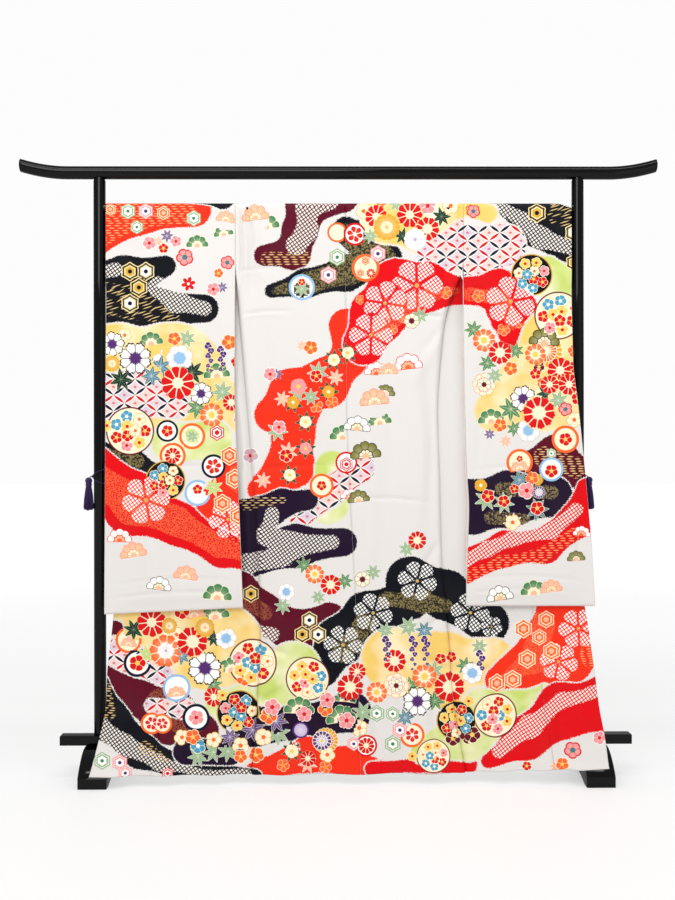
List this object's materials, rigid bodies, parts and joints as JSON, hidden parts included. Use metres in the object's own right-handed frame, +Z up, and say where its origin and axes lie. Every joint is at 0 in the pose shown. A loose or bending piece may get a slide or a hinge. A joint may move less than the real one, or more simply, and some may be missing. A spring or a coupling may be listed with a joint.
{
  "type": "furisode kimono on a display stand",
  "caption": "Long-sleeved silk kimono hung back outwards over the rod of a black lacquered kimono stand, hem spread over the feet.",
  "frame": {"origin": "on the floor, midway between the posts and midway between the toes of the feet", "axes": "+X along the top bar to the viewer's right as the garment's back is faced, +Y away from the viewer, +Z up"},
  "size_m": [1.8046, 0.274, 1.7412],
  "materials": {
    "black_lacquer": "black lacquer, satin to gloss",
    "violet_silk_cord": "soft silk cord and strands",
    "body_silk": "figured silk with a soft sheen, dyed all over with traditional motifs on white",
    "overlap_silk": "the same silk, here mostly red, gold and black motifs",
    "sleeve_silk": "the same silk, with cloud bands of orange, red, black and gold",
    "collar_silk": "the same silk, white with small motifs"
  },
  "bodies": {
    "root": {"top_bar": "black_lacquer", "post_left": "black_lacquer", "post_right": "black_lacquer", "hanging_rod": "black_lacquer", "bottom_rail": "black_lacquer", "foot_left": "black_lacquer", "foot_right": "black_lacquer", "tassel_left": "violet_silk_cord", "tassel_right": "violet_silk_cord", "body_left": "body_silk", "body_right": "body_silk", "overlap_left": "overlap_silk", "overlap_right": "overlap_silk", "sleeve_left": "sleeve_silk", "sleeve_right": "sleeve_silk", "collar": "collar_silk"}
  },
  "joints": []
}
